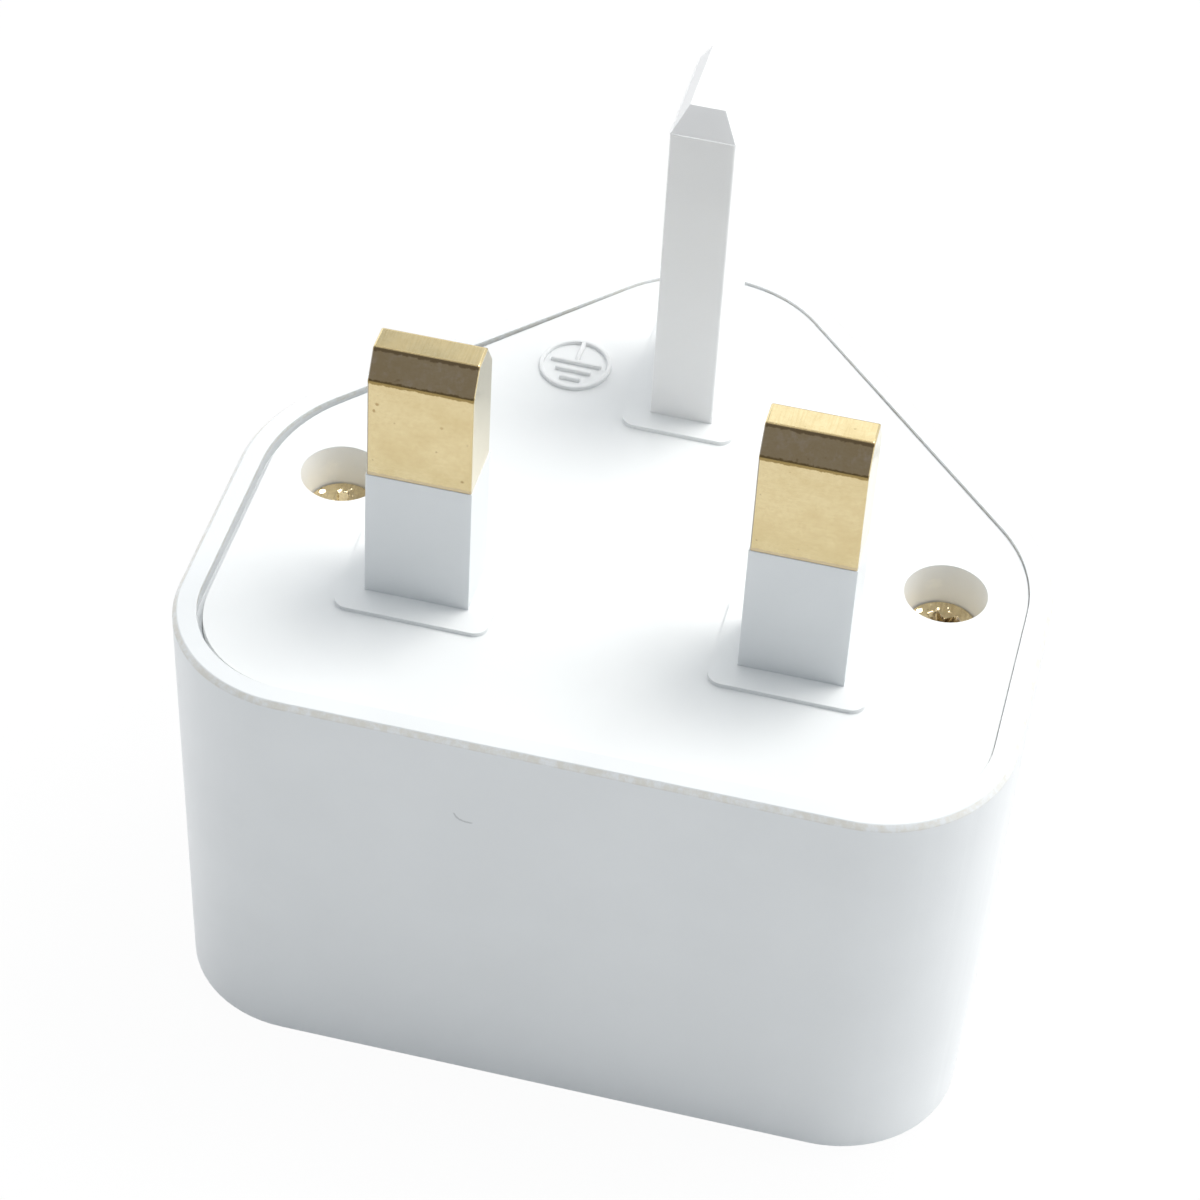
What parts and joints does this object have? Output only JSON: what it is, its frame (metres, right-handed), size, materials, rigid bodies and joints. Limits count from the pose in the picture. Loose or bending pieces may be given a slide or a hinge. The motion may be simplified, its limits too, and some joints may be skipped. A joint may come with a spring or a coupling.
{
  "type": "uk plug adapter",
  "caption": "White adapter with rectangular plug pins on one face and a two-pole socket face opposite, in a moulded body with a rounded point.",
  "frame": {"origin": "middle of the socket face, at the bottom of the body", "axes": "+Z along the plug pins, +Y from the line and neutral pins towards the earth pin, +X towards the neutral pin"},
  "size_m": [0.0494, 0.0466, 0.0514],
  "materials": {
    "body_plastic": "satin moulded white",
    "pin_plastic": "satin moulded white",
    "pin_brass": "drawn and bevelled, lightly worn",
    "contact_bronze": "rolled strip",
    "screw_brass": "bright plated"
  },
  "bodies": {
    "root": {"shell": "body_plastic", "pin_plate": "body_plastic", "earth_pin": "pin_plastic", "line_sleeve": "pin_plastic", "neutral_sleeve": "pin_plastic", "line_pin": "pin_brass", "neutral_pin": "pin_brass", "line_contact": "contact_bronze", "neutral_contact": "contact_bronze", "left_screw": "screw_brass", "right_screw": "screw_brass"}
  },
  "joints": []
}
